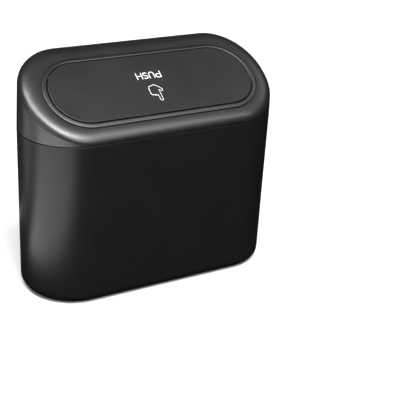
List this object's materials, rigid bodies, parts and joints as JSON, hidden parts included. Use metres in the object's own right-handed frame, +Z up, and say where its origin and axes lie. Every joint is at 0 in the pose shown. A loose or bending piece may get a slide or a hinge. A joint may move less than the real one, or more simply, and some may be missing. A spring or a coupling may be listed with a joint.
{
  "type": "car trash bin",
  "caption": "Small black wedge-topped waste bin for a car: a sprung flap to push in, a hinged lid and a spring clip on the back to hang it by.",
  "frame": {"origin": "middle of the floor that the bin stands on, under the middle of its plan without the clip", "axes": "+Z up, X along the bin's length, the low front of the lid towards -Y and the clip towards +Y"},
  "size_m": [0.16, 0.0746, 0.1373],
  "materials": {
    "bin_plastic": "satin black moulded plastic",
    "clip_plastic": "satin black moulded plastic, a little glossier at the bends",
    "lid_plastic": "satin black moulded plastic",
    "flap_plastic": "satin dark grey moulded plastic",
    "pin_steel": "drawn steel rod",
    "spring_steel": "bright spring wire"
  },
  "bodies": {
    "bin": {"bin_body": "bin_plastic", "rear_clip": "clip_plastic", "lid_hinge_pin": "pin_steel"},
    "lid": {"lid_frame": "lid_plastic", "flap_axle": "pin_steel", "flap_spring_left": "spring_steel", "flap_spring_right": "spring_steel"},
    "flap": {"push_flap": "flap_plastic"}
  },
  "joints": [
    {"name": "lid_hinge", "type": "hinge", "parent": "bin", "child": "lid", "pos_m": [0, 0.0335, 0.1023], "axis": [-1, 0, 0], "range_deg": [0, 105]},
    {"name": "flap_pivot", "type": "hinge", "parent": "lid", "child": "flap", "pos_m": [0, 0.01318, 0.12449], "axis": [1, 0, 0], "range_deg": [0, 55], "stiffness_Nm_per_rad": 0.03, "springref_deg": -28.65, "deforming": ["flap_spring_left", "flap_spring_right"]}
  ]
}
